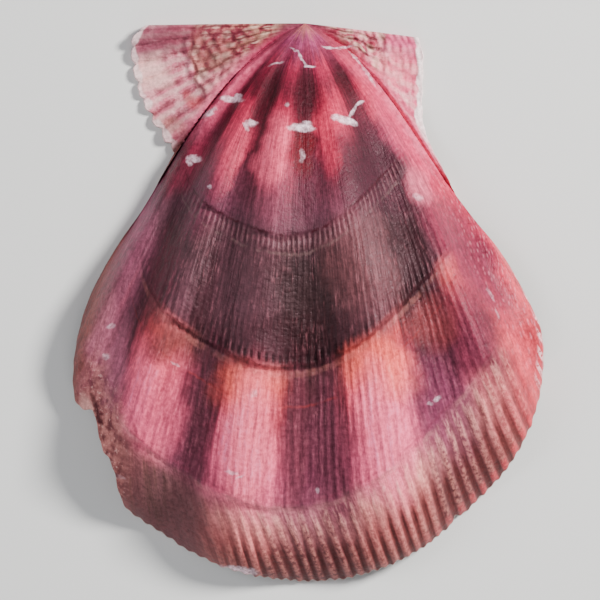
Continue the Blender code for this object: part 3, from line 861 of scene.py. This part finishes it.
def flank_beads(g, field, colour):
    """Small pale scales over the back flank and white beads along its outline."""
    growth, slope = field["growth"], field["slope"]
    far, chance = g.cells(g.vector(g.times(field["rib"], 2.0), g.times(growth, 62.0)))
    scales = g.times(g.step(far, 0.45, 0.15), g.step(chance, 0.45, 0.75))
    flank = g.times(g.step(slope, 0.52, 0.78), g.step(growth, 0.30, 0.45))
    colour = g.mix(g.times(scales, flank, 0.32), colour, srgb(240, 160, 176))
    beads = g.times(g.step(g.wave(g.times(field["rib"], 1.2)), 0.35, 0.75),
                    g.step(field["grain"], 0.36, 0.50))
    outline = g.times(g.step(slope, 0.60, 0.70), g.step(growth, 0.966, 0.982))
    return g.mix(g.times(beads, outline, 0.70), colour, srgb(246, 200, 206))


# Dark and light of the ears' scaly part by the beak, then, for the lobes past the step, the painted
# shade on one flank of each rib and the lobes' own colour
EAR_YOUNG_FRONT = ((140, 62, 74), (214, 142, 134))
EAR_YOUNG_BACK = ((176, 74, 96), (236, 158, 168))
EAR_GROWN_FRONT = ((146, 80, 92), (206, 122, 140))
EAR_GROWN_BACK = ((186, 76, 106), (220, 104, 136))

# Patches of colour on the ears, in the same form as those of the disc
EAR_PATCHES = (
    (-25.5, 2.8, 4.0, 2.6, 0.0, (134, 74, 92), 0.75),
    (-26.4, 8.6, 2.6, 2.4, 12.0, (248, 202, 196), 0.75),
    (-17.0, 3.2, 6.5, 2.6, 0.0, (132, 62, 78), 0.60),
    (-12.0, 7.5, 4.0, 1.8, 25.0, (138, 104, 94), 0.45),
    (-18.5, 12.8, 1.8, 1.0, 20.0, (206, 84, 84), 0.50),
    (-23.5, 17.5, 3.0, 1.2, 22.0, (176, 122, 112), 0.55),
    (17.0, 3.8, 2.4, 2.2, 0.0, (222, 112, 150), 0.70),
    (15.5, 8.0, 2.6, 2.4, 0.0, (236, 136, 150), 0.55),
)


def ear_colour(g, field, front):
    """Cream scales near the beak and paler lobes past the step; along each rib red-brown painted
    shade lies on one flank, and past the step painted highlight on the other.
    """
    growth, rib = field["ear_growth"], field["ear_rib"]
    bent, blotch = field["ear_bend"], field["ear_blotch"]
    # The wave is a quarter rib off the ribs, so its top lies on one flank of each rib, where
    # painted highlight goes, and its bottom on the other, where painted shade goes
    crest = g.wave(g.math("MULTIPLY_ADD", bent, 0.50, g.math("ADD", rib, -0.25)))
    far, chance = g.cells(g.vector(rib, g.times(growth, 14.0 if front else 11.0)), 0.9)
    darks, lights = EAR_YOUNG_FRONT if front else EAR_YOUNG_BACK
    young = g.mix(g.step(blotch, 0.36, 0.62), srgb(*darks), srgb(*lights))
    raised = g.times(g.step(far, 0.55, 0.20), g.step(chance, 0.15, 0.60))
    young = g.mix(g.times(raised, 0.75), young, srgb(242, 202, 186))
    # Painted red-brown shade along the shaded flank of each young rib
    young = g.mix(g.times(g.step(crest, 0.50, 0.05), g.step(blotch, 0.62, 0.42, 0.35, 1.0), 0.80),
                  young, srgb(92, 30, 40))
    shaded_flank, tops = EAR_GROWN_FRONT if front else EAR_GROWN_BACK
    old = g.mix(g.step(blotch, 0.42, 0.72), srgb(*tops), srgb(240, 178, 184))
    # Painted highlight on the lit flank of each lobe, then painted shade on the other flank
    old = g.mix(g.times(g.step(crest, 0.55, 0.95), 0.32), old, srgb(246, 208, 202))
    old = g.mix(g.times(g.step(crest, 0.36, 0.04), g.step(blotch, 0.62, 0.40, 0.3, 1.0), 0.80),
                old, srgb(*shaded_flank))
    low_ribs = g.times(g.step(rib, 4.2, 5.4), 0.7 if front else 0.0)
    where = g.math("MULTIPLY_ADD", bent, 0.16, growth)
    past = g.step(where, EAR_STEP + 0.05, EAR_STEP + 0.09)
    colour = g.mix(g.math("MAXIMUM", past, low_ribs), young, old)
    line = g.band(where, EAR_STEP + 0.035, EAR_STEP + 0.060, 0.012)
    colour = g.mix(g.times(line, 0.60), colour, srgb(104, 36, 54))
    for *mark, tint, strength in EAR_PATCHES:
        inside = g.times(g.spot(field["wavy_plan"], mark, 0.20), strength)
        colour = g.mix(inside, colour, srgb(*tint))
    green = g.times(g.step(growth, 0.50, 0.28), g.step(blotch, 0.38, 0.58))
    colour = g.mix(g.times(green, 0.45 if front else 0.15), colour, srgb(150, 130, 104))
    colour = g.mix(g.times(g.step(growth, 0.22, 0.08), 0.75), colour, srgb(104, 58, 76))
    # A pale rim along the ears' edges: the shell's pale margin, made strong on the back ear as a
    # painted rim highlight
    edge = g.step(where, 1.055, 1.075) if front else g.step(where, 1.02, 1.04)
    return g.mix(g.times(edge, 0.50 if front else 0.90), colour, srgb(250, 232, 232))


def chip_colour(g, field, colour):
    """Lumpy pinkish tan where the margin has broken away, with a dark crack above it."""
    lump = g.mix(g.step(field["ear_blotch"], 0.34, 0.66), srgb(112, 56, 62), srgb(214, 144, 138))
    lump = g.mix(g.times(g.step(field["grain"], 0.58, 0.70), 0.6), lump, srgb(238, 196, 188))
    zone = g.times(field["chipped"], g.step(field["ear_bend"], 0.30, 0.50, 0.55, 0.95))
    colour = g.mix(zone, colour, lump)
    crack = g.spot(field["rough_plan"], (-35.2, 65.6, 0.40, 2.8, -16.0), 0.4)
    colour = g.mix(g.times(crack, 0.8), colour, srgb(76, 24, 36))
    pale = g.spot(field["rough_plan"], (-37.0, 65.4, 0.9, 2.0, -14.0), 0.3)
    return g.mix(g.times(pale, 0.7), colour, srgb(240, 184, 176))


def underside_colour(g, field):
    """Porcelain white with a rose flush under the beak and a dark margin."""
    cloud = g.noise(field["plan"], 70.0, 3.0)
    place = g.math("MULTIPLY_ADD", cloud, 0.16, g.math("ADD", field["growth"], -0.08))
    return g.ramp(place, (
        (0.00, (178, 96, 112)), (0.16, (200, 136, 146)), (0.40, (226, 200, 192)),
        (0.78, (232, 212, 200)), (0.90, (206, 150, 148)), (0.97, (140, 66, 76)),
        (1.00, (150, 80, 86))))


def sheet_fields(g):
    """The attributes of the mesh and the noises that several markings share."""
    names = ("growth", "fold", "slope", "rib", "inside", "chipped", "ear_growth", "ear_rib",
             "front_ear", "back_ear", "crease")
    field = {name: g.field(name) for name in names}
    place = g.tree.nodes.new("ShaderNodeTexCoord").outputs["Object"]
    field["plan"] = place
    apart = g.tree.nodes.new("ShaderNodeSeparateXYZ")
    g.put(apart.inputs[0], place)
    x, y = apart.outputs[0], apart.outputs[1]
    field["wavy_plan"] = g.shaken(x, y, 160.0, 0.0050)
    field["rough_plan"] = g.shaken(x, y, 800.0, 0.0011)
    rib, growth = field["rib"], field["growth"]
    field["sheet"] = g.vector(g.times(rib, 2.0), g.times(growth, 40.0))
    field["patchy"] = g.noise(g.vector(g.times(rib, 0.44), g.times(growth, 11.0)), 1.0, 3.0)
    field["streaks"] = g.noise(g.vector(g.times(rib, 1.1), g.times(growth, 6.0)), 1.0, 5.0, 0.62)
    field["threads"] = g.noise(g.vector(g.times(rib, 3.0), g.times(growth, 42.0)), 1.0, 3.0, 0.6)
    field["grain"] = g.noise(place, 1500.0, 3.0, 0.6)
    field["ear_bend"] = g.noise(place, 260.0, 2.0)
    field["ear_blotch"] = g.noise(place, 560.0, 3.0, 0.6)
    return field


def surface_relief(g, field):
    """Hair-fine growth lines and grain, below what the mesh holds."""
    outside = g.math("SUBTRACT", 1.0, field["inside"])
    rings = g.noise(g.vector(g.times(field["rib"], 0.5), g.times(field["growth"], 150.0)), 1.0, 3.0)
    height = g.math("ADD", g.times(field["threads"], 0.9), g.times(rings, 0.6))
    height = g.math("MULTIPLY_ADD", field["grain"], 0.8, height)
    bump = g.tree.nodes.new("ShaderNodeBump")
    bump.inputs["Distance"].default_value = BUMP_DEPTH
    g.put(bump.inputs["Strength"], g.math("MULTIPLY_ADD", outside, 0.6, 0.2))
    g.put(bump.inputs["Height"], height)
    return bump.outputs["Normal"]


def shell_material():
    g = Graph("shell_surface")
    field = sheet_fields(g)
    colour = disc_colour(g, field)
    colour = g.shade(colour, g.step(field["streaks"], 0.28, 0.72, 0.74, 1.27))
    colour = riblets(g, field, colour)
    colour = rest_lines(g, field, colour)
    colour = last_band(g, field, colour)
    colour = flank_beads(g, field, colour)
    colour = g.mix(field["front_ear"], colour, ear_colour(g, field, True))
    colour = g.mix(field["back_ear"], colour, ear_colour(g, field, False))
    # Painted light along the creases between disc and ears, where the valley falls into shade
    lit = g.times(field["crease"], g.step(field["ear_blotch"], 0.35, 0.60, 0.30, 0.80))
    colour = g.mix(lit, colour, srgb(236, 116, 148))
    mottle = g.step(field["grain"], 0.30, 0.64, 0.40, 0.90)
    # White marks of the shell and painted glints, broken up by the grain
    for *mark, strength in MARKS_AND_GLINTS:
        inside = g.times(g.spot(field["rough_plan"], mark, 0.25), strength, mottle)
        colour = g.mix(inside, colour, srgb(*MARK_AND_GLINT_COLOUR))
    colour = chip_colour(g, field, colour)
    colour = g.shade(colour, g.step(field["grain"], 0.30, 0.70, 0.80, 1.20))
    rim = g.times(g.step(field["inside"], 0.02, 0.3), g.step(field["growth"], 0.85, 0.93))
    colour = g.mix(g.times(rim, 0.8), colour, srgb(206, 180, 170))
    colour = g.mix(g.step(field["inside"], 0.5, 0.95), colour, underside_colour(g, field))
    g.put(g.surface.inputs["Base Color"], colour)
    gloss = g.step(field["grain"], 0.3, 0.7, 0.36, 0.56)
    gloss = g.math("MULTIPLY_ADD", field["chipped"], 0.25, gloss)
    g.put(g.surface.inputs["Roughness"], gloss)
    g.surface.inputs["Specular IOR Level"].default_value = SPECULAR_LEVEL
    g.surface.inputs["Specular Tint"].default_value = SPECULAR_TINT
    g.put(g.surface.inputs["Normal"], surface_relief(g, field))
    return g.material


def make_stage():
    mesh = bpy.data.meshes.new("floor")
    bm = bmesh.new()
    bmesh.ops.create_grid(bm, x_segments=1, y_segments=1, size=FLOOR_HALF)
    bm.to_mesh(mesh)
    bm.free()
    floor = bpy.data.objects.new("floor", mesh)
    bpy.context.scene.collection.objects.link(floor)
    material = bpy.data.materials.new("floor_paper")
    material.use_nodes = True
    surface = material.node_tree.nodes["Principled BSDF"]
    surface.inputs["Base Color"].default_value = FLOOR_COLOUR
    surface.inputs["Roughness"].default_value = 0.9
    mesh.materials.append(material)


def make_light(name, place, size, power, colour):
    data = bpy.data.lights.new(name, "AREA")
    data.shape = "DISK"
    data.size = size
    data.energy = power
    data.color = colour
    lamp = bpy.data.objects.new(name, data)
    lamp.location = place
    lamp.rotation_euler = (-Vector(place)).to_track_quat("-Z", "Y").to_euler()
    bpy.context.scene.collection.objects.link(lamp)


def light_studio():
    for lamp in LAMPS:
        make_light(*lamp)
    world = bpy.data.worlds.new("studio")
    world.use_nodes = True
    background = world.node_tree.nodes["Background"]
    background.inputs["Color"].default_value = AMBIENT_COLOUR
    background.inputs["Strength"].default_value = AMBIENT_STRENGTH
    bpy.context.scene.world = world


def place_camera():
    """Straight above, with the hinge up, so that a photograph's pixel is one of ours."""
    data = bpy.data.cameras.new("camera")
    data.lens = CAMERA_LENS
    data.sensor_width = CAMERA_SENSOR
    across = PHOTO_SIDE * PHOTO_PIXEL * MM
    middle_x = (BEAK_X + (PHOTO_SIDE / 2 - PHOTO_BEAK[0]) * PHOTO_PIXEL) * MM
    middle_y = (BEAK_Y - (PHOTO_SIDE / 2 - PHOTO_BEAK[1]) * PHOTO_PIXEL) * MM
    camera = bpy.data.objects.new("camera", data)
    camera.location = (middle_x, middle_y, across * data.lens / data.sensor_width)
    bpy.context.scene.collection.objects.link(camera)
    bpy.context.scene.camera = camera


valve = make_valve()
valve.data.materials.append(shell_material())
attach(valve, "root")
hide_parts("valve")
make_stage()
light_studio()
place_camera()
